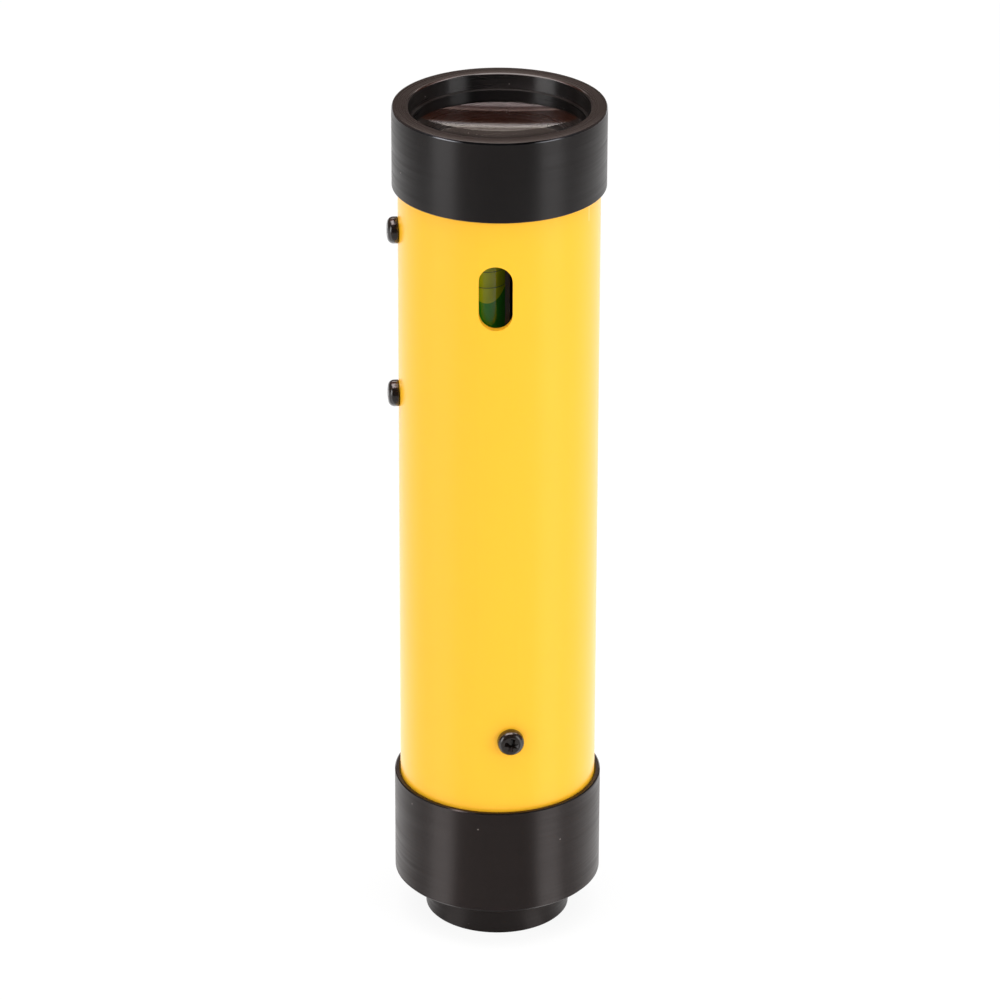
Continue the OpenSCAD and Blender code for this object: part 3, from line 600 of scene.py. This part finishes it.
# a column whose lower end is rounded across the window, the shape that a meniscus shows there
bubble = {"radius": 2.44, "low": 127.7, "top": 138.2, "cuts": 11, "cutStep": 0.25}
span = bubble["top"] - bubble["low"]
deselect()
bpy.ops.mesh.primitive_cylinder_add(vertices=vial["sides"], radius=bubble["radius"] * mm, depth=span * mm,
                                    location=(0, 0, (bubble["top"] + bubble["low"]) / 2 * mm))
vialBubble = bpy.context.object
vialBubble.name = "vialBubble"
bpy.ops.object.transform_apply()
bpy.ops.object.mode_set(mode="EDIT")
for level in range(1, bubble["cuts"] + 1):
    height = bubble["low"] + level * bubble["cutStep"]
    bpy.ops.mesh.select_all(action="SELECT")
    bpy.ops.mesh.bisect(plane_co=(0, 0, height * mm), plane_no=(0, 0, 1))
bpy.ops.object.mode_set(mode="OBJECT")
for vertex in vialBubble.data.vertices:
    above = (vertex.co.z / mm - bubble["low"]) / span
    across = min(abs(vertex.co.x / mm) / bubble["radius"], 1)
    lift = bubble["radius"] * (1 - math.sqrt(1 - across ** 2))
    vertex.co.z = (bubble["low"] + lift + above * (span - lift)) * mm
settle(vialBubble, vialPlace)
smooth(vialBubble)
dress(vialBubble, airMaterial, "bubble", ["bubble"])

# the two lines round the vial
line = {"inner": 3.18, "outer": 3.22, "width": 0.16, "heights": (130.8, 133.8)}
half = line["width"] / 2
lowerLine = turnedPiece("vialLine_1", [(line["inner"], -half), (line["outer"], -half), (line["outer"], half),
                                       (line["inner"], half)], vial["sides"])
for piece, height in zip((lowerLine, copyPiece(lowerLine, "vialLine_2")), line["heights"]):
    settle(piece, vialPlace @ Matrix.Translation((0, 0, height * mm)))
    dress(piece, inkMaterial, "sight_tube")
print("vial made")

# screws: pan heads with a cross recess that narrows downwards
screw = {"head": 2.425, "height": 2.05, "rounding": 1.15, "shank": 1.25, "crown": 0.12, "footEdge": 0.12,
         "crossReach": 1.42, "crossWidth": 0.8, "crossDepth": 1.3, "topWiden": 1.15, "footNarrow": 0.7,
         "footReach": 0.35, "overcut": 0.1, "edge": 0.07, "edgedFrom": 35, "smoothTo": 35,
         "seatRadius": 18.0, "crownPoints": 10, "sides": 96}
sideShank = {"length": 6.55, "tipRadius": 1.25, "tipLength": 0.01}
guideShank = {"length": 1.5, "tipRadius": 1.0, "tipLength": 1.43}


def panScrew(name, shank):
    tipEnd = -shank["length"] - shank["tipLength"]
    outline = [(0, tipEnd), (shank["tipRadius"], tipEnd), (shank["tipRadius"], -shank["length"]),
               (screw["shank"], -shank["length"]), (screw["shank"], 0),
               (screw["head"] - screw["footEdge"], 0), (screw["head"], screw["footEdge"])]
    for i in range(screw["crownPoints"] + 1):
        a = math.pi / 2 * i / screw["crownPoints"]
        outline.append((screw["head"] - screw["rounding"] + screw["rounding"] * math.cos(a),
                        screw["height"] - screw["crown"] - screw["rounding"] + screw["rounding"] * math.sin(a)))
    outline.append((0, screw["height"]))
    piece = turnedPiece(name, outline, screw["sides"])
    for side in (0, 90):
        deselect()
        bpy.ops.mesh.primitive_cube_add(size=1)
        cutter = bpy.context.object
        cutter.name = name + "Cutter"
        for vertex in cutter.data.vertices:
            top = vertex.co.z > 0
            reach = screw["crossReach"] * (1 if top else screw["footReach"])
            half = screw["crossWidth"] / 2 * (screw["topWiden"] if top else screw["footNarrow"])
            height = screw["height"] + (screw["overcut"] if top else -screw["crossDepth"])
            vertex.co = (math.copysign(reach, vertex.co.x) * mm, math.copysign(half, vertex.co.y) * mm, height * mm)
        settle(cutter, Matrix.Rotation(math.radians(side), 4, "Z"))
        applyModifier(piece, "BOOLEAN", {"operation": "DIFFERENCE", "object": cutter, "solver": "EXACT"})
        bpy.data.objects.remove(cutter)
    roundEdges(piece, screw["edge"], screw["edgedFrom"])
    return piece


sideScrew = panScrew("sideScrewUpper", sideShank)
screwSet = [
    # piece, node, turn of its cross, angle round the tube, height
    (sideScrew, "side_screw_upper", 20, -84, 135.8),
    (copyPiece(sideScrew, "sideScrewLower"), "side_screw_lower", 65, -84, 104.3),
    (panScrew("guideScrew", guideShank), "guide_screw", -13, 9.3, 42.6),
]
for piece, node, turn, angle, height in screwSet:
    settle(piece, Matrix.Translation((0, 0, height * mm)) @ Matrix.Rotation(math.radians(angle), 4, "Z")
           @ Matrix.Rotation(math.pi / 2, 4, "X") @ Matrix.Translation((0, 0, screw["seatRadius"] * mm))
           @ Matrix.Rotation(math.radians(turn), 4, "Z"))
    smooth(piece, screw["smoothTo"])
    dress(piece, screwMaterial, "sight_tube", [node])
print("screws made")
